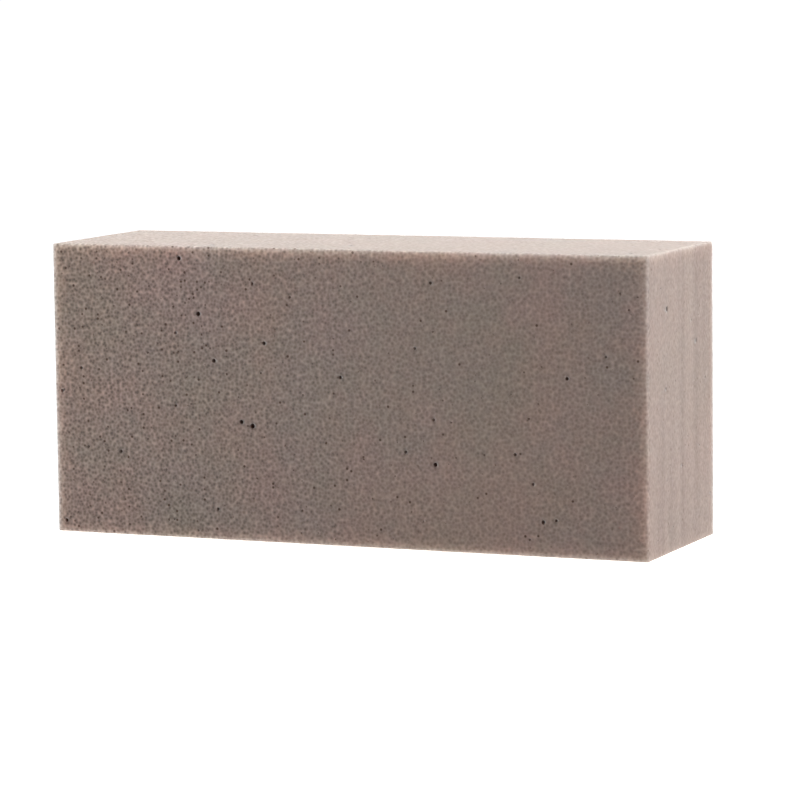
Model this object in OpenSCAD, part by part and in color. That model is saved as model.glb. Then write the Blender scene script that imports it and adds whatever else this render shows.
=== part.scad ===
// Dry floral foam brick, standing on one of its long narrow sides.
// It is one block of rigid open-cell foam, sawn square on all six sides, with no
// wrapper, insert or fastener. Units are millimetres and +Z is up.
// The origin is the middle of the side that the brick stands on, and +X runs along
// its length. The gas that blew the foam left larger bubbles among its fine cells:
// the ones that the saw opened show as small dark pockets.

/* [Brick] */
// Length of the brick, along X
brick_length = 230; // [120:1:300]
// Thickness of the brick from front to back, along Y
brick_depth = 70; // [40:1:110]
// Height of the brick as it stands, along Z
brick_height = 106; // [60:1:150]

/* [Sawn edges] */
// Radius that sawing and handling leave along each edge
edge_radius = 0.8; // [0.3:0.1:3]

/* [Gas pockets] */
// Opening across the widest scattered pocket
pocket_widest = 1.9; // [1.2:0.1:3]
// Opening across the narrowest scattered pocket
pocket_narrowest = 0.9; // [0.6:0.1:1.2]
// Bubble's diameter for each millimetre of the opening that the saw left
bubble_swell = 1.15; // [1.05:0.01:1.5]
// Area of sawn face for each scattered pocket, in square millimetres
pocket_spacing_area = 1400; // [600:50:4000]
// Strip along each edge that scattered pockets keep clear of
pocket_margin = 3.5; // [2:0.5:8]

/* [Hidden] */

// Steps of an even scatter that never repeats: the first two place a pocket on its
// face, and the third gives its size.
scatter_step_across = 0.7548777;
scatter_step_up = 0.5698403;
scatter_step_size = 0.6180340;

// Pockets on the front face: place across and up from the face's middle, each in
// percent of that side, and the opening in millimetres.
front_pockets = [
    [-15.3, -10.5, 1.7],
    [-17.2,  -9.3, 1.5],
    [-24.4,  27.0, 1.6],
    [-27.6,  45.7, 1.5],
    [-21.8,  11.2, 1.4],
    [-13.1,  17.7, 1.3],
    [-48.4, -46.0, 1.3],
    [-48.7,  -0.9, 1.2],
    [-38.4, -21.1, 1.2],
    [-45.2,   7.2, 1.1],
    [-21.5, -39.5, 1.1],
    [-15.0,  37.8, 1.0],
    [-28.4,  20.3, 1.0],
    [-44.2, -20.0, 1.0],
    [-28.6,  -4.6, 1.0],
    [ -8.6,  33.5, 0.9],
    [ -0.2,   7.1, 1.2],
    [ 15.5, -20.9, 1.4],
    [ 10.6, -17.1, 1.1],
    [ 15.3,  -5.9, 1.0],
    [ 15.0,  39.4, 1.1],
    [ 12.3,  17.6, 1.0],
    [ 33.1, -38.3, 1.3],
    [ 35.2, -37.6, 1.0],
    [ 28.6, -16.4, 1.1],
    [ 31.5, -25.9, 1.0],
    [ 37.1,   9.3, 1.2],
    [ 43.3,  16.8, 0.9],
    [ 29.5,  41.9, 0.9]
];

arc_steps = 48;
bubble_steps = 32;

function share(value) = value - floor(value);

// A pocket from the even scatter: share across, share up, and opening. Squaring the
// last share makes narrow pockets the common ones.
function scattered_pocket(k) = [
    share(k * scatter_step_across) - 0.5,
    share(k * scatter_step_up) - 0.5,
    pocket_narrowest
        + (pocket_widest - pocket_narrowest) * pow(share(k * scatter_step_size), 2)
];

// A rectangle with each corner rounded to edge_radius.
module rounded_outline(across, up) {
    square([across - 2 * edge_radius, up], center = true);
    square([across, up - 2 * edge_radius], center = true);
    for (a = [-0.5, 0.5], b = [-0.5, 0.5])
        translate([a * (across - 2 * edge_radius), b * (up - 2 * edge_radius)])
            circle(r = edge_radius, $fn = arc_steps);
}

// A block centred on the origin, with every edge rounded to edge_radius: what three
// bars of rounded outline, one along each axis, have in common.
module rounded_block(size) {
    intersection() {
        linear_extrude(height = size.z, center = true)
            rounded_outline(size.x, size.y);
        rotate([90, 0, 0])
            linear_extrude(height = size.y, center = true)
                rounded_outline(size.x, size.z);
        rotate([90, 0, 90])
            linear_extrude(height = size.x, center = true)
                rounded_outline(size.y, size.z);
    }
}

// The bubble behind an opening. Its middle lies under the face, so that the pocket is
// wider inside than at its mouth.
module bubble(opening) {
    radius = opening * bubble_swell / 2;
    sunk = sqrt(pow(radius, 2) - pow(opening / 2, 2));
    translate([0, 0, -sunk]) sphere(r = radius, $fn = bubble_steps);
}

// Scattered pockets on a face that lies in XY and looks along +Z. first is the
// scatter's first number, so that no two faces look the same.
module scattered_pockets(across, up, first) {
    count = floor(across * up / pocket_spacing_area);
    free_across = across - 2 * pocket_margin;
    free_up = up - 2 * pocket_margin;
    for (k = [first : first + count - 1]) {
        pocket = scattered_pocket(k);
        translate([pocket[0] * free_across, pocket[1] * free_up, 0])
            bubble(pocket[2]);
    }
}

module placed_pockets(across, up) {
    for (pocket = front_pockets)
        translate([pocket[0] / 100 * across, pocket[1] / 100 * up, 0])
            bubble(pocket[2]);
}

// Moves a face's pockets from XY to its place on the brick, looking outwards.
module on_side(turn, outward) {
    translate(outward) rotate(turn) children();
}

module all_pockets() {
    half = [brick_length, brick_depth, brick_height] / 2;
    on_side([90, 0, 0], [0, -half.y, 0]) placed_pockets(brick_length, brick_height);
    on_side([90, 0, 180], [0, half.y, 0])
        scattered_pockets(brick_length, brick_height, 1);
    on_side([90, 0, 90], [half.x, 0, 0])
        scattered_pockets(brick_depth, brick_height, 101);
    on_side([90, 0, -90], [-half.x, 0, 0])
        scattered_pockets(brick_depth, brick_height, 201);
    on_side([0, 0, 0], [0, 0, half.z])
        scattered_pockets(brick_length, brick_depth, 301);
    on_side([180, 0, 0], [0, 0, -half.z])
        scattered_pockets(brick_length, brick_depth, 401);
}

module foam_brick() {
    color([0.69, 0.62, 0.58])
        translate([0, 0, brick_height / 2])
            difference() {
                rounded_block([brick_length, brick_depth, brick_height]);
                all_pockets();
            }
}

foam_brick();
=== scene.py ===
# A brick of dry floral foam, standing on one of its long narrow sides.
#
# The brick is one block of rigid open-cell foam, sawn on all six sides. Its surface is a
# rounded box that saw ripple, open cells and crumbled edges have worn a little way in.
# Gas bubbles that the saw opened are cut out of it. Everything is in metres, in the frame
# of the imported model: +X runs along the brick, +Z is up and the brick stands on z = 0.

import math

import bpy
import numpy as np
from mathutils import Matrix, Vector


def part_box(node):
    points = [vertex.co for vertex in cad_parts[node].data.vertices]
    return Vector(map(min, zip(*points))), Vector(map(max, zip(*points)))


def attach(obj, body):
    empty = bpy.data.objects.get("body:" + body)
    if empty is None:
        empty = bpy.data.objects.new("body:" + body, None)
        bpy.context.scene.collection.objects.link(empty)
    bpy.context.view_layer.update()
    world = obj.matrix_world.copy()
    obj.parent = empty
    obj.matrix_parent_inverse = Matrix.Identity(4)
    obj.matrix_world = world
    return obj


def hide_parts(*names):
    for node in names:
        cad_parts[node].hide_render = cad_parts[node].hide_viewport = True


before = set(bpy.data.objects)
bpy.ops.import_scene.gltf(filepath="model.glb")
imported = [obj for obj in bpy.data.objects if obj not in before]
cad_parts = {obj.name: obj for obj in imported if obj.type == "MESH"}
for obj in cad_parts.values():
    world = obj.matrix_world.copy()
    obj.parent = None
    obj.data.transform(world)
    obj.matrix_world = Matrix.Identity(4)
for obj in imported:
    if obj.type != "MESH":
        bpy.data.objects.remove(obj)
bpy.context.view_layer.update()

MM = 0.001

# The brick's own box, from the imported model
BRICK = "foam_brick"
lowest, highest = (np.array(corner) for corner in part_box(BRICK))
middle = (lowest + highest) / 2
half = (highest - lowest) / 2

# Camera: a long lens from the front right, a little above the brick
LENS = 173.0
SENSOR = 36.0
CAMERA_DISTANCE = 1.39
CAMERA_AZIMUTH = math.radians(23.43)
CAMERA_ELEVATION = math.radians(6.63)
CAMERA_ROLL = math.radians(-0.68)
AIM_FROM_MIDDLE = Vector((7.3 * MM, 0, -4.15 * MM))
FARTHEST_SEEN = 100.0

# Sawn surface: its rounded edges, the grid that it is drawn on, and how far under the packed
# model it starts
EDGE_RADIUS = 0.8 * MM
EDGE_TURNS = np.radians([15, 30, 45])
GRID_SPACING = 1.5 * MM
SKIN = 0.02 * MM

# Wear of the sawn surface: how deep it goes on average, how wide its hollows are, its seed,
# and how far in from the edges it crumbles
CELLS_DEPTH = 0.05 * MM
CELLS_WIDTH = 2.3 * MM
CELLS_SEED = 11
WAVES_DEPTH = 0.03 * MM
WAVES_WIDTH = 17 * MM
WAVES_SEED = 12
CRUMBLING_DEPTH = 0.03 * MM
CRUMBLING_WIDTH = 1.9 * MM
CRUMBLING_SEED = 13
CRUMBLING_REACH = 1.2 * MM

# The saw's ripple across the two ends: a short wave, and a long one that is stronger
RIPPLE_DEPTH = 0.03 * MM
SHORT_WAVE = 5.3 * MM
LONG_WAVE = 15.5 * MM
LONG_WAVE_SHARE = 1.4

# Gas bubbles that the saw opened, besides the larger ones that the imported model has, and
# crumbs that broke out along the edges
BUBBLES_SEED = 7
BUBBLE_CELL = 3.2 * MM
BUBBLE_LEAST = 0.20 * MM
BUBBLE_MOST = 0.50 * MM
BUBBLE_SHARE = 0.13
BUBBLE_STRETCH = 0.16
CRUMB_CELL = 3.0 * MM
CRUMB_SHARE = 0.18
CRUMB_INSET = 0.15 * MM

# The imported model's mesh: how close its points are merged, and the share of its faces that
# is kept
WELD_GAP = 0.001 * MM
POCKET_DETAIL = 0.3

# Faces that meet at a sharper turn than this are shaded as an edge
SHARP_TURN = math.radians(40)

# The foam's own colour, linear, and how far red, green and blue light spread inside it,
# in millimetres
DRY_FOAM = np.array((0.429, 0.338, 0.299))
LIGHT_SPREAD = (12.8, 12.0, 11.6)

# Colours in the foam, as shares of its own: hollows and walls of its cells, pinholes, edges
# lightened by wear and by a painted glow of light through them, and a bubble's wall near its mouth
# and deep inside, where it is darkened as painted shade
HOLLOW = 0.55
CELL_WALL = 1.45
PINHOLE = (0.30, 0.25, 0.23)
# The edges' lighter share: partly wear, partly a painted glow of light that spreads in through
# them
EDGE_WEAR_AND_GLOW = 1.04
WALL_AT_MOUTH = 0.8
# Deep inside a bubble its wall is darkened as painted shade
SHADED_WALL_INSIDE = (0.20, 0.14, 0.12)

# Ends of the foam's two shifts of hue, as shares of red, green and blue
GREYER = (0.93, 0.995, 0.995, 1)
REDDER = (1.07, 1.005, 1.005, 1)
GREENER = (0.985, 1.001, 0.969, 1)
BLUER = (1.015, 0.999, 1.031, 1)

# Patterns in the foam, in cells, patches or streaks per metre, and a pinhole's radius in
# cells
GRAIN_CELLS = 820.0
WALL_GRAIN_CELLS = 1400.0
PINHOLE_CELLS = 620.0
PINHOLE_RADIUS = 0.42
MOTTLE_PATCHES = 22.0
RAGGED_PATCHES = 600.0
STREAKS = 130.0

# Saw streaks: how fast they change along X, Y and Z, and how much they change the level
STREAK_STRETCH = (0.02, 1.0, 0.04)
STREAK_WEIGHT = 0.18

# Contrast of the cells and share of pinholes, at the brick's coarse end and at its fine one,
# which starts this far along the brick
COARSE_CONTRAST = 1.18
FINE_CONTRAST = 0.63
COARSE_PINHOLES = 0.10
FINE_PINHOLES = 0.02
FINE_END = 0.8

# How open the cells are, how much the hue varies and how dark pinholes are, on the ends and
# narrow sides and on the broad faces
SIDE_CELLS = 0.5
FACE_CELLS = 1.0
SIDE_HUE = 0.3
FACE_HUE = 0.95
SIDE_PINHOLES = 0.4
FACE_PINHOLES = 0.9

# Roughness in a hollow and on a cell's wall, and how deep the cells look
SAWN_ROUGHNESS = (1.0, 0.88)
WALL_ROUGHNESS = (0.95, 0.8)
BUMP_STRENGTH = 0.4
BUMP_HEIGHT = 0.3 * MM

# A bubble's wall: how deep its painted shade starts at the mouth and how deep it is whole inside,
# and how uneven its colour is
SHADE_STARTS_DEPTH = 0.1 * MM
SHADE_WHOLE_DEPTH = 1.2 * MM
WALL_DARKEST = 0.85
WALL_LIGHTEST = 1.15

# A point up to ON_SIDE deep counts as on a side, and one past OFF_SIDE doesn't
ON_SIDE = 1.0 * MM
OFF_SIDE = 2.5 * MM

# Edge wear and painted glow, which lighten the edges: how far in they reach, how far they are
# complete, and how ragged their border is
WEAR_AND_GLOW_REACH = 1.5 * MM
WEAR_AND_GLOW_WHOLE = 0.3 * MM
WEAR_AND_GLOW_RAGGED = 1.6 * MM

# Light table: what the camera sees of its glow and what reaches the brick, and its colour
# in the open, in the strip along the brick's foot, and under the brick
TABLE_RADIUS = 30.0
TABLE_SIDES = 96
GLOW_SEEN = 1.05
GLOW_SHED = 0.57
OPEN_GLOW = (0.985, 0.99, 1, 1)
FOOT_GLOW = (1.6, 1.5, 1.4, 1)
UNDER_GLOW = 0.75
FOOT_STRIP = 0.3 * MM
UNDER_STARTS = 0.5 * MM
UNDER_WHOLE = 3.0 * MM

# Softboxes: name, place, width, height, power in watts, and colour
SOFTBOXES = (
    ("overhead_softbox", (0.0, 0.9, 1.7), 2.4, 1.6, 57.5, (0.91, 0.975, 0.99)),
    ("right_softbox", (1.8, 0.45, 0.7), 1.2, 1.2, 19.7, (1.0, 0.965, 0.96)),
    ("left_softbox", (-1.8, 0.1, 0.7), 1.2, 1.2, 5, (0.97, 0.98, 1.0)),
    ("front_softbox", (-0.75, -0.7, 0.45), 0.5, 0.5, 4.1, (1.0, 0.985, 0.96)),
)
ROOM_LIGHT = 0.03


# ---------------------------------------------------------------- shapes


def smooth_noise(points, cell, seed):
    """Heights from -1 to 1 that wander smoothly through space: random numbers at the corners
    of a lattice of cubes, blended inside each cube by 3t^2 - 2t^3 along X, Y and Z. Cubes are
    counted from a point that is a brick's length before its middle along X, Y and Z."""
    place = (points + 2 * half.max()) / cell
    corner = np.floor(place).astype(int)
    t = place - corner
    t = t * t * (3 - 2 * t)
    least = corner.min(0)
    numbers = np.random.default_rng(seed).uniform(-1, 1, corner.max(0) - least + 2)
    total = np.zeros(len(points))
    for step in np.ndindex(2, 2, 2):
        share = np.where(step, t, 1 - t).prod(1)
        total += share * numbers[tuple((corner - least + step).T)]
    return total


def box_grid(lines):
    """The six sides of a box as one welded grid of quads that face outwards. lines holds the
    grid's places along X, Y and Z. Each side is the two-parameter surface (lines[u], lines[v])
    at the first or last place along its third axis, and points that two or three sides share
    are kept once."""
    points, quads, first = [], [], 0
    for axis in range(3):
        u, v = (axis + 1) % 3, (axis + 2) % 3
        across, up = np.meshgrid(lines[u], lines[v], indexing="ij")
        number = np.arange(across.size).reshape(across.shape)
        quad = np.stack([number[:-1, :-1], number[1:, :-1], number[1:, 1:], number[:-1, 1:]], -1)
        for end in (0, -1):
            side = np.empty((across.size, 3))
            side[:, axis] = lines[axis][end]
            side[:, u] = across.ravel()
            side[:, v] = up.ravel()
            points.append(side)
            outward = quad.reshape(-1, 4) if end else quad.reshape(-1, 4)[:, ::-1]
            quads.append(outward + first)
            first += across.size
    points = np.concatenate(points)
    _, kept, welded = np.unique(points.round(9), axis=0, return_index=True, return_inverse=True)
    return points[kept], welded.reshape(-1)[np.concatenate(quads)]


def grid_lines(reach):
    """Places along one axis of the brick: even steps between the edges' arcs, and over each
    arc the places where a ray from its centre, turned by EDGE_TURNS, meets the box."""
    flat = reach - EDGE_RADIUS
    steps = math.ceil(2 * flat / GRID_SPACING)
    over_edge = flat + EDGE_RADIUS * np.tan(EDGE_TURNS)
    return np.concatenate([-over_edge[::-1], np.linspace(-flat, flat, steps + 1), over_edge])


def edge_distance(points):
    """How far each point is from the brick's nearest edge: the second smallest of its
    distances to the sides across X, Y and Z."""
    return np.sort(half - np.abs(points), axis=1)[:, 1]


def sawn_depth(points, outward):
    """How far the sawn surface lies under the ideal block at each point: the skin that keeps
    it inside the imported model, plus open cells, plus slow waves, plus what has crumbled off,
    which falls away from the edges as exp(-distance / reach), plus the saw's ripple across
    the two ends. The ripple is a sine along Y plus a longer one that is a radian ahead."""
    cells = CELLS_DEPTH * (1 + smooth_noise(points, CELLS_WIDTH, CELLS_SEED))
    waves = WAVES_DEPTH * (1 + smooth_noise(points, WAVES_WIDTH, WAVES_SEED))
    near_edge = np.exp(-edge_distance(points) / CRUMBLING_REACH)
    crumbling = smooth_noise(points, CRUMBLING_WIDTH, CRUMBLING_SEED)
    crumbled = CRUMBLING_DEPTH * near_edge * (1 + crumbling)
    on_end = outward[:, 0] ** 2
    y = points[:, 1]
    long_wave = LONG_WAVE_SHARE * np.sin(2 * np.pi * y / LONG_WAVE + 1)
    ripple = np.sin(2 * np.pi * y / SHORT_WAVE) + long_wave
    sawn = RIPPLE_DEPTH * on_end * (1 + LONG_WAVE_SHARE + ripple)
    return SKIN + cells + waves + crumbled + sawn


def sawn_block():
    """The brick's outer surface. A point p of the box goes to q + r n, where q is p brought
    into the inner box that is one edge radius r smaller all round, and n is the direction
    from q to p, which rounds every edge and corner. It then sinks along n by sawn_depth."""
    points, quads = box_grid([grid_lines(reach) for reach in half])
    inner = np.clip(points, EDGE_RADIUS - half, half - EDGE_RADIUS)
    outward = points - inner
    outward /= np.linalg.norm(outward, axis=1, keepdims=True)
    rounded = inner + EDGE_RADIUS * outward
    sunk = rounded - outward * sawn_depth(rounded, outward)[:, None]
    return middle + sunk, quads


def scattered(rng, across, up):
    """Places for bubbles on a flat patch, never touching: at most one in each square cell, a
    random distance from its middle, and kept with the chance BUBBLE_SHARE. Returns their
    places across and up from the patch's middle."""
    columns, rows = int(across / BUBBLE_CELL), int(up / BUBBLE_CELL)
    u, v = np.meshgrid(np.arange(columns), np.arange(rows), indexing="ij")
    spare = BUBBLE_CELL / 2 - BUBBLE_MOST
    u = (u.ravel() + 0.5 - columns / 2) * BUBBLE_CELL + rng.uniform(-spare, spare, u.size)
    v = (v.ravel() + 0.5 - rows / 2) * BUBBLE_CELL + rng.uniform(-spare, spare, v.size)
    kept = rng.random(u.size) < BUBBLE_SHARE
    return u[kept], v[kept]


def side_bubbles(rng):
    """Centres and radii of the bubbles on the six sides. Radii grow as the cube of a random
    share, so that most bubbles are small, and each centre lies up to half a radius under its
    side or above it, so that their mouths differ."""
    centres, radii = [], []
    margin = 2 * BUBBLE_MOST
    for axis in range(3):
        u, v = (axis + 1) % 3, (axis + 2) % 3
        for outside in (-1, 1):
            x, y = scattered(rng, 2 * (half[u] - margin), 2 * (half[v] - margin))
            radius = BUBBLE_LEAST + (BUBBLE_MOST - BUBBLE_LEAST) * rng.random(x.size) ** 3
            centre = np.empty((x.size, 3))
            centre[:, u], centre[:, v] = x, y
            centre[:, axis] = outside * (half[axis] - radius * rng.uniform(-0.5, 0.5, x.size))
            centres.append(centre)
            radii.append(radius)
    return np.concatenate(centres), np.concatenate(radii)


def edge_crumbs(rng):
    """Centres and radii of the bubbles that broke out along the twelve edges: at most one in
    each stretch of CRUMB_CELL, CRUMB_INSET inside both of the edge's sides."""
    centres, radii = [], []
    for axis in range(3):
        u, v = (axis + 1) % 3, (axis + 2) % 3
        for a in (-1, 1):
            for b in (-1, 1):
                stretches = int(2 * (half[axis] - 2 * BUBBLE_MOST) / CRUMB_CELL)
                spare = CRUMB_CELL / 2 - BUBBLE_MOST
                along = (np.arange(stretches) + 0.5 - stretches / 2) * CRUMB_CELL
                along = along + rng.uniform(-spare, spare, stretches)
                along = along[rng.random(stretches) < CRUMB_SHARE]
                radius = rng.uniform(BUBBLE_LEAST, BUBBLE_MOST, along.size)
                centre = np.empty((along.size, 3))
                centre[:, axis] = along
                centre[:, u] = a * (half[u] - CRUMB_INSET)
                centre[:, v] = b * (half[v] - CRUMB_INSET)
                centres.append(centre)
                radii.append(radius)
    return np.concatenate(centres), np.concatenate(radii)


def bubbles(centres, radii, rng):
    """One mesh of separate bubbles. Each is a cube of two by two quads a side, pulled out to
    a sphere by p / |p|, and stretched or squeezed by up to BUBBLE_STRETCH along X, Y and Z."""
    ball, quads = box_grid([np.array([-1.0, 0.0, 1.0])] * 3)
    ball /= np.linalg.norm(ball, axis=1, keepdims=True)
    stretch = rng.uniform(1 - BUBBLE_STRETCH, 1 + BUBBLE_STRETCH, (len(radii), 3))
    reach = radii[:, None] * stretch
    points = middle + centres[:, None] + ball * reach[:, None]
    numbers = quads + len(ball) * np.arange(len(radii))[:, None, None]
    return points.reshape(-1, 3), numbers.reshape(-1, 4)


def mesh_object(name, points, quads, material):
    """An object of flat triangles, two to a quad, because a cut through a bent quad leaves
    faces that can't be split cleanly."""
    triangles = quads[:, [0, 1, 2, 0, 2, 3]].reshape(-1, 3)
    mesh = bpy.data.meshes.new(name)
    mesh.from_pydata(points.tolist(), [], triangles.tolist())
    mesh.materials.append(material)
    made = bpy.data.objects.new(name, mesh)
    bpy.context.scene.collection.objects.link(made)
    return made


def packed_copy(node, material):
    """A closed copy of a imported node's mesh, whose triangles are loose until they are merged,
    with fewer faces in its round pockets."""
    made = bpy.data.objects.new(node + "_copy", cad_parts[node].data.copy())
    bpy.context.scene.collection.objects.link(made)
    made.data.materials.clear()
    made.data.materials.append(material)
    weld = made.modifiers.new("weld", "WELD")
    weld.merge_threshold = WELD_GAP
    fewer = made.modifiers.new("fewer", "DECIMATE")
    fewer.ratio = POCKET_DETAIL
    return made


def apply_modifiers(piece):
    ready = bpy.context.evaluated_depsgraph_get()
    piece.data = bpy.data.meshes.new_from_object(piece.evaluated_get(ready))
    piece.modifiers.clear()


def cut(piece, tool, operation):
    """Applies a boolean to a piece at once, keeps each face's own material, and removes the
    tool that it was cut with."""
    boolean = piece.modifiers.new(operation, "BOOLEAN")
    boolean.operation = operation
    boolean.solver = "MANIFOLD"
    boolean.material_mode = "TRANSFER"
    boolean.object = tool
    apply_modifiers(piece)
    bpy.data.objects.remove(tool)


def make_foam(sawn_foam, bubble_wall):
    """The whole brick: the sawn block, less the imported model's pockets, the bubbles on the
    sides and the crumbs along the edges. Every cut face takes the bubble wall's material."""
    foam = mesh_object("foam", *sawn_block(), sawn_foam)
    cut(foam, packed_copy(BRICK, bubble_wall), "INTERSECT")
    rng = np.random.default_rng(BUBBLES_SEED)
    for name, places in (("bubbles", side_bubbles), ("crumbs", edge_crumbs)):
        centres, radii = places(rng)
        cut(foam, mesh_object(name, *bubbles(centres, radii, rng), bubble_wall), "DIFFERENCE")
    foam.modifiers.new("triangles", "TRIANGULATE")
    apply_modifiers(foam)
    foam.data.shade_smooth()
    foam.data.set_sharp_from_angle(angle=SHARP_TURN)
    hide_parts(BRICK)
    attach(foam, "root")


# ---------------------------------------------------------------- nodes


def shader_node(tree, kind, inputs=None, **settings):
    """Adds a node with its settings, and gives each named input a value or another node's
    output."""
    made = tree.nodes.new(kind)
    for name, value in settings.items():
        setattr(made, name, value)
    for name, value in (inputs or {}).items():
        if isinstance(value, bpy.types.NodeSocket):
            tree.links.new(value, made.inputs[name])
        else:
            made.inputs[name].default_value = value
    return made


def maths(tree, operation, *values):
    made = shader_node(tree, "ShaderNodeMath", dict(enumerate(values)), operation=operation)
    return made.outputs[0]


def vector_maths(tree, operation, *values):
    made = shader_node(tree, "ShaderNodeVectorMath", dict(enumerate(values)), operation=operation)
    return made.outputs[0]


def fade(tree, value, start, end):
    """0 where value is start, 1 where it is end, and smooth between them."""
    made = shader_node(
        tree,
        "ShaderNodeMapRange",
        {"Value": value, "From Min": start, "From Max": end},
        interpolation_type="SMOOTHSTEP",
    )
    return made.outputs["Result"]


def between(tree, share, low, high):
    """low where share is 0, high where it is 1, and in proportion between them."""
    return maths(tree, "MULTIPLY_ADD", share, high - low, low)


def weigh(tree, value, weight):
    """value with its distance from a half times weight."""
    return maths(tree, "MULTIPLY_ADD", maths(tree, "SUBTRACT", value, 0.5), weight, 0.5)


def shade(colour, red, green=None, blue=None):
    """A colour brightened or darkened, all alike or each primary by its own share."""
    shares = (red, red, red) if green is None else (red, green, blue)
    return (*(np.array(colour[:3]) * shares), 1)


def grey(level):
    return shade((1, 1, 1), level)


def blend(tree, colour, other, factor, how="MIX"):
    made = shader_node(
        tree,
        "ShaderNodeMix",
        {"Factor": factor, 6: colour, 7: other},
        data_type="RGBA",
        blend_type=how,
    )
    return made.outputs[2]


def noise(tree, position, scale, detail, roughness=0.5):
    made = shader_node(
        tree,
        "ShaderNodeTexNoise",
        {"Vector": position, "Scale": scale, "Detail": detail, "Roughness": roughness},
    )
    return made.outputs["Fac"]


def voronoi(tree, position, scale):
    """Random cells: the distance from each cell's middle, and a colour for each cell."""
    made = shader_node(
        tree, "ShaderNodeTexVoronoi", {"Vector": position, "Scale": scale}, feature="F1"
    )
    return made.outputs


# ---------------------------------------------------------------- effects


def effect(name, inputs, outputs):
    """A new shader node group with named sockets. inputs holds a starting value for each
    number, and None for a vector. Returns it with its input and output nodes' sockets."""
    tree = bpy.data.node_groups.new(name, "ShaderNodeTree")
    for socket, value in inputs.items():
        kind = "NodeSocketVector" if value is None else "NodeSocketFloat"
        made = tree.interface.new_socket(socket, in_out="INPUT", socket_type=kind)
        if value is not None:
            made.default_value = value
    for socket in outputs:
        tree.interface.new_socket(socket, in_out="OUTPUT", socket_type="NodeSocketFloat")
    return tree, tree.nodes.new("NodeGroupInput").outputs, tree.nodes.new("NodeGroupOutput").inputs


def use(tree, group, **inputs):
    """Places a group in a material. Inputs are named by their sockets, with _ for a space."""
    made = tree.nodes.new("ShaderNodeGroup")
    made.node_tree = group
    for name, value in inputs.items():
        socket = made.inputs[name.replace("_", " ")]
        if isinstance(value, bpy.types.NodeSocket):
            tree.links.new(value, socket)
        else:
            socket.default_value = value
    return made.outputs


def brick_sides_effect():
    """Where a point is on the brick. Depth is the smallest of its depths under the sides
    across X, Y and Z, and Edge Distance is the second smallest. End is 1 on the two ends, and
    Broad on the two broad faces. Along goes from 0 at the -X end to 1 at the +X end."""
    tree, given, result = effect(
        "brick_sides", {"Position": None}, ("Edge Distance", "Depth", "End", "Broad", "Along")
    )
    centred = vector_maths(tree, "SUBTRACT", given["Position"], middle.tolist())
    folded = vector_maths(tree, "ABSOLUTE", centred)
    under = vector_maths(tree, "SUBTRACT", half.tolist(), folded)
    each = shader_node(tree, "ShaderNodeSeparateXYZ", {0: under}).outputs
    least = maths(tree, "MINIMUM", maths(tree, "MINIMUM", each["X"], each["Y"]), each["Z"])
    most = maths(tree, "MAXIMUM", maths(tree, "MAXIMUM", each["X"], each["Y"]), each["Z"])
    total = maths(tree, "ADD", maths(tree, "ADD", each["X"], each["Y"]), each["Z"])
    second = maths(tree, "SUBTRACT", maths(tree, "SUBTRACT", total, least), most)
    tree.links.new(second, result["Edge Distance"])
    tree.links.new(least, result["Depth"])
    tree.links.new(fade(tree, each["X"], OFF_SIDE, ON_SIDE), result["End"])
    tree.links.new(fade(tree, each["Y"], OFF_SIDE, ON_SIDE), result["Broad"])
    x = shader_node(tree, "ShaderNodeSeparateXYZ", {0: centred}).outputs["X"]
    tree.links.new(maths(tree, "MULTIPLY_ADD", x, 0.5 / half[0], 0.5), result["Along"])
    return tree


def foam_grain_effect():
    """Open cells, from 0 in a dark hollow to 1 on a light wall. Level is 0.8 times the
    distance from the middle of a random cell, where its hollow is, plus 0.06. Noise of about
    the same width makes it up to 0.4 more or less."""
    tree, given, result = effect(
        "foam_grain", {"Position": None, "Cells Per Metre": GRAIN_CELLS}, ("Level",)
    )
    cell = voronoi(tree, given["Position"], given["Cells Per Metre"])
    wander_scale = maths(tree, "MULTIPLY", given["Cells Per Metre"], 0.94)
    wander = noise(tree, given["Position"], wander_scale, 0.0)
    walls = maths(tree, "MULTIPLY_ADD", cell["Distance"], 0.8, 0.06)
    uneven = maths(tree, "MULTIPLY", maths(tree, "SUBTRACT", wander, 0.5), 0.8)
    tree.links.new(maths(tree, "ADD", walls, uneven), result["Level"])
    return tree


def pinholes_effect():
    """Dark round specks: the middles of some cells of a random scatter. Share of the cells
    have one, chosen by a random number that each cell has. Radius is in cells, and the inner
    0.4 of it is wholly dark."""
    tree, given, result = effect(
        "pinholes",
        {
            "Position": None,
            "Cells Per Metre": PINHOLE_CELLS,
            "Share": COARSE_PINHOLES,
            "Radius": PINHOLE_RADIUS,
        },
        ("Mask",),
    )
    cell = voronoi(tree, given["Position"], given["Cells Per Metre"])
    number = shader_node(tree, "ShaderNodeSeparateColor", {0: cell["Color"]}).outputs["Red"]
    chosen = maths(tree, "LESS_THAN", number, given["Share"])
    inner = maths(tree, "MULTIPLY", given["Radius"], 0.4)
    core = fade(tree, cell["Distance"], given["Radius"], inner)
    tree.links.new(maths(tree, "MULTIPLY", core, chosen), result["Mask"])
    return tree


def mottle_effect():
    """Broad soft patches of two kinds, each from 0 to 1: Warmth, from greyer foam to
    redder, and Coolness, from greener foam to bluer. Both are the same noise, read 0.7 m
    apart along X, Y and Z."""
    tree, given, result = effect(
        "mottle", {"Position": None, "Patches Per Metre": MOTTLE_PATCHES}, ("Warmth", "Coolness")
    )
    for name, offset in (("Warmth", 0.0), ("Coolness", 0.7)):
        place = vector_maths(tree, "ADD", given["Position"], (offset, offset, offset))
        patches = noise(tree, place, given["Patches Per Metre"], 4.0, 0.7)
        tree.links.new(fade(tree, patches, 0.3, 0.7), result[name])
    return tree


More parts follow.
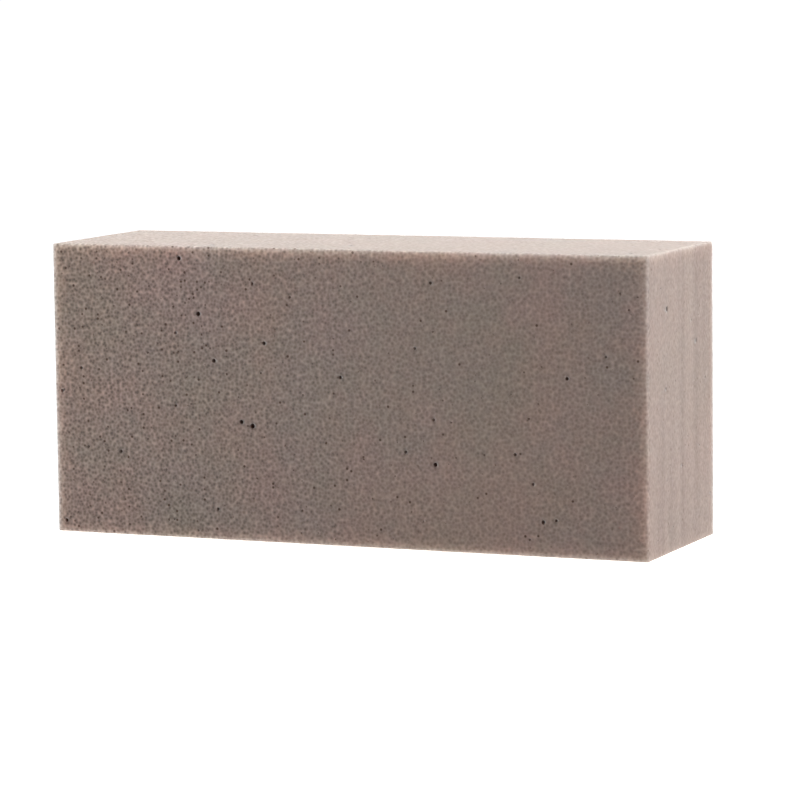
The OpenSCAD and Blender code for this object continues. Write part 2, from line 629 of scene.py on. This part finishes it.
def edge_wear_and_glow_effect():
    """Where the edges are lightened, by wear and by a painted glow of light spreading in through
    them: 1 on an edge, gone about WEAR_AND_GLOW_REACH from it, and ragged on the way, because
    noise moves each point nearer or further."""
    tree, given, result = effect("edge_wear_and_glow", {"Position": None, "Edge Distance": 0.0}, ("Mask",))
    ragged = noise(tree, given["Position"], RAGGED_PATCHES, 1.0)
    shift = maths(tree, "MULTIPLY_ADD", ragged, WEAR_AND_GLOW_RAGGED, -WEAR_AND_GLOW_RAGGED / 2)
    shifted = maths(tree, "ADD", given["Edge Distance"], shift)
    tree.links.new(fade(tree, shifted, WEAR_AND_GLOW_REACH, WEAR_AND_GLOW_WHOLE), result["Mask"])
    return tree


def saw_streaks_effect():
    """Streaks that a saw leaves from top to bottom: noise that changes fast across the
    brick's thickness and slowly up its height."""
    tree, given, result = effect("saw_streaks", {"Position": None}, ("Level",))
    stretched = vector_maths(tree, "MULTIPLY", given["Position"], STREAK_STRETCH)
    streaks = noise(tree, stretched, STREAKS, 1.0, 0.6)
    tree.links.new(fade(tree, streaks, 0.25, 0.75), result["Level"])
    return tree


# ---------------------------------------------------------------- materials


def new_material(name):
    material = bpy.data.materials.new(name)
    material.use_nodes = True
    tree = material.node_tree
    tree.nodes.clear()
    position = tree.nodes.new("ShaderNodeTexCoord").outputs["Object"]
    shader = tree.nodes.new("ShaderNodeBsdfPrincipled")
    output = tree.nodes.new("ShaderNodeOutputMaterial")
    tree.links.new(shader.outputs["BSDF"], output.inputs["Surface"])
    return material, tree, position, shader


def set_foam_surface(shader):
    """Foam hardly shines, and light spreads through its thin walls."""
    shader.inputs["Specular IOR Level"].default_value = 0.1
    shader.inputs["Subsurface Weight"].default_value = 1.0
    shader.inputs["Subsurface Radius"].default_value = LIGHT_SPREAD
    shader.inputs["Subsurface Scale"].default_value = MM


def tint(tree, effects, position, amount):
    """The foam's hue from place to place, by amount: duller and greyer or lighter and redder,
    and at the same time greener or bluer."""
    mottle = use(tree, effects["mottle"], Position=position)
    warmth = weigh(tree, mottle["Warmth"], amount)
    coolness = weigh(tree, mottle["Coolness"], amount)
    warm = blend(tree, GREYER, REDDER, warmth)
    cool = blend(tree, GREENER, BLUER, coolness)
    return blend(tree, warm, cool, 1.0, "MULTIPLY")


def sawn_foam_material(effects):
    """The sawn sides. The saw left the cells of the broad faces open and dark, and smeared
    those of the ends and the narrow sides. Its streaks show on the ends, and the cells are
    coarser towards -X."""
    material, tree, position, shader = new_material("sawn_foam")
    sides = use(tree, effects["sides"], Position=position)
    grain = use(tree, effects["grain"], Position=position)["Level"]
    streaks = use(tree, effects["streaks"], Position=position)["Level"]
    wear_and_glow = use(
        tree, effects["wear_and_glow"], Position=position, Edge_Distance=sides["Edge Distance"]
    )["Mask"]

    finer = fade(tree, sides["Along"], 0.0, FINE_END)
    open_cells = between(tree, sides["Broad"], SIDE_CELLS, FACE_CELLS)
    along = between(tree, finer, COARSE_CONTRAST, FINE_CONTRAST)
    contrast = maths(tree, "MULTIPLY", open_cells, along)
    share = between(tree, finer, COARSE_PINHOLES, FINE_PINHOLES)
    pinholes = use(tree, effects["pinholes"], Position=position, Share=share)["Mask"]

    level = weigh(tree, grain, contrast)
    streak = weigh(tree, streaks, maths(tree, "MULTIPLY", sides["End"], STREAK_WEIGHT))
    level = maths(tree, "ADD", level, maths(tree, "SUBTRACT", streak, 0.5))
    colour = blend(tree, shade(DRY_FOAM, HOLLOW), shade(DRY_FOAM, CELL_WALL), level)
    hue_range = between(tree, sides["Broad"], SIDE_HUE, FACE_HUE)
    hue = tint(tree, effects, position, hue_range)
    colour = blend(tree, colour, hue, 1.0, "MULTIPLY")
    darkness = between(tree, sides["Broad"], SIDE_PINHOLES, FACE_PINHOLES)
    pinholes = maths(tree, "MULTIPLY", pinholes, darkness)
    colour = blend(tree, colour, shade(DRY_FOAM, *PINHOLE), pinholes)
    # Painted glow: the edges are lightened as if light spread in through them, besides their wear
    rubbed_and_glowing = blend(tree, colour, grey(EDGE_WEAR_AND_GLOW), 1.0, "MULTIPLY")
    colour = blend(tree, colour, rubbed_and_glowing, wear_and_glow)
    tree.links.new(colour, shader.inputs["Base Color"])

    tree.links.new(between(tree, grain, *SAWN_ROUGHNESS), shader.inputs["Roughness"])
    bump = shader_node(
        tree,
        "ShaderNodeBump",
        {"Strength": BUMP_STRENGTH, "Distance": BUMP_HEIGHT, "Height": grain},
    )
    tree.links.new(bump.outputs["Normal"], shader.inputs["Normal"])
    set_foam_surface(shader)
    return material


def bubble_wall_material(effects):
    """The smooth wall of a gas bubble: duller than the sawn foam, and darker further in as painted
    shade.
    """
    material, tree, position, shader = new_material("bubble_wall")
    sides = use(tree, effects["sides"], Position=position)
    grain = use(
        tree, effects["grain"], Position=position, Cells_Per_Metre=WALL_GRAIN_CELLS
    )["Level"]
    # Painted shade: the wall darkens with depth under the sides, where shade falls inside a bubble
    painted_shade = fade(tree, sides["Depth"], SHADE_STARTS_DEPTH, SHADE_WHOLE_DEPTH)
    colour = blend(tree, shade(DRY_FOAM, WALL_AT_MOUTH), shade(DRY_FOAM, *SHADED_WALL_INSIDE), painted_shade)
    uneven = blend(tree, grey(WALL_DARKEST), grey(WALL_LIGHTEST), grain)
    colour = blend(tree, colour, uneven, 1.0, "MULTIPLY")
    colour = blend(tree, colour, tint(tree, effects, position, FACE_HUE), 1.0, "MULTIPLY")
    tree.links.new(colour, shader.inputs["Base Color"])
    tree.links.new(between(tree, grain, *WALL_ROUGHNESS), shader.inputs["Roughness"])
    set_foam_surface(shader)
    return material


def light_table_material(effects):
    """A table top that glows white, more along the brick's foot, and less under the rest of
    the brick. What it sheds on the brick is less than what is seen of it."""
    material, tree, position, shader = new_material("light_table")
    sides = use(tree, effects["sides"], Position=position)
    at_foot = fade(tree, sides["Depth"], -FOOT_STRIP, 0.0)
    glow = blend(tree, OPEN_GLOW, FOOT_GLOW, at_foot)
    under_brick = fade(tree, sides["Edge Distance"], UNDER_STARTS, UNDER_WHOLE)
    glow = blend(tree, glow, grey(UNDER_GLOW), under_brick)
    tree.links.new(glow, shader.inputs["Emission Color"])
    seen = tree.nodes.new("ShaderNodeLightPath").outputs["Is Camera Ray"]
    strength = between(tree, seen, GLOW_SHED, GLOW_SEEN)
    tree.links.new(strength, shader.inputs["Emission Strength"])
    shader.inputs["Base Color"].default_value = grey(0.1)
    shader.inputs["Roughness"].default_value = 1.0
    shader.inputs["Specular IOR Level"].default_value = 0.0
    return material


# ---------------------------------------------------------------- studio


def make_camera():
    """The camera stands CAMERA_DISTANCE from its aim, CAMERA_AZIMUTH to the right of the front
    and CAMERA_ELEVATION up, and is turned about its own line of sight by CAMERA_ROLL."""
    data = bpy.data.cameras.new("camera")
    data.lens = LENS
    data.sensor_width = SENSOR
    data.clip_end = FARTHEST_SEEN
    camera = bpy.data.objects.new("camera", data)
    bpy.context.scene.collection.objects.link(camera)
    turn = (
        Matrix.Rotation(CAMERA_AZIMUTH, 3, "Z")
        @ Matrix.Rotation(math.pi / 2 - CAMERA_ELEVATION, 3, "X")
        @ Matrix.Rotation(CAMERA_ROLL, 3, "Z")
    )
    aim = Vector(middle) + AIM_FROM_MIDDLE
    camera.location = aim + turn @ Vector((0, 0, CAMERA_DISTANCE))
    camera.rotation_euler = turn.to_euler()
    bpy.context.scene.camera = camera


def make_light_table(effects):
    """A round pale table top at z = 0, lit through from below: points at even turns t on the
    circle (r cos t, r sin t, 0)."""
    turns = np.linspace(0, 2 * np.pi, TABLE_SIDES, endpoint=False)
    rim = np.stack([np.cos(turns), np.sin(turns), np.zeros(TABLE_SIDES)], 1) * TABLE_RADIUS
    mesh = bpy.data.meshes.new("light_table")
    mesh.from_pydata(rim.tolist(), [], [list(range(TABLE_SIDES))])
    mesh.materials.append(light_table_material(effects))
    table = bpy.data.objects.new("light_table", mesh)
    bpy.context.scene.collection.objects.link(table)


def softbox(name, place, width, height, power, colour):
    """A large flat light that looks at the brick's middle and isn't seen itself."""
    data = bpy.data.lights.new(name, "AREA")
    data.shape = "RECTANGLE"
    data.size = width
    data.size_y = height
    data.energy = power
    data.color = colour
    light = bpy.data.objects.new(name, data)
    bpy.context.scene.collection.objects.link(light)
    light.location = place
    light.visible_camera = False
    towards = Vector(middle) - Vector(place)
    light.rotation_euler = towards.to_track_quat("-Z", "Y").to_euler()


def make_studio(effects):
    make_light_table(effects)
    for one in SOFTBOXES:
        softbox(*one)
    world = bpy.data.worlds.new("studio")
    bpy.context.scene.world = world
    world.use_nodes = True
    background = world.node_tree.nodes["Background"]
    background.inputs["Color"].default_value = grey(ROOM_LIGHT)
    bpy.context.scene.view_settings.view_transform = "Standard"


make_camera()
effects = {
    "sides": brick_sides_effect(),
    "grain": foam_grain_effect(),
    "pinholes": pinholes_effect(),
    "mottle": mottle_effect(),
    "streaks": saw_streaks_effect(),
    "wear_and_glow": edge_wear_and_glow_effect(),
}
make_foam(sawn_foam_material(effects), bubble_wall_material(effects))
make_studio(effects)
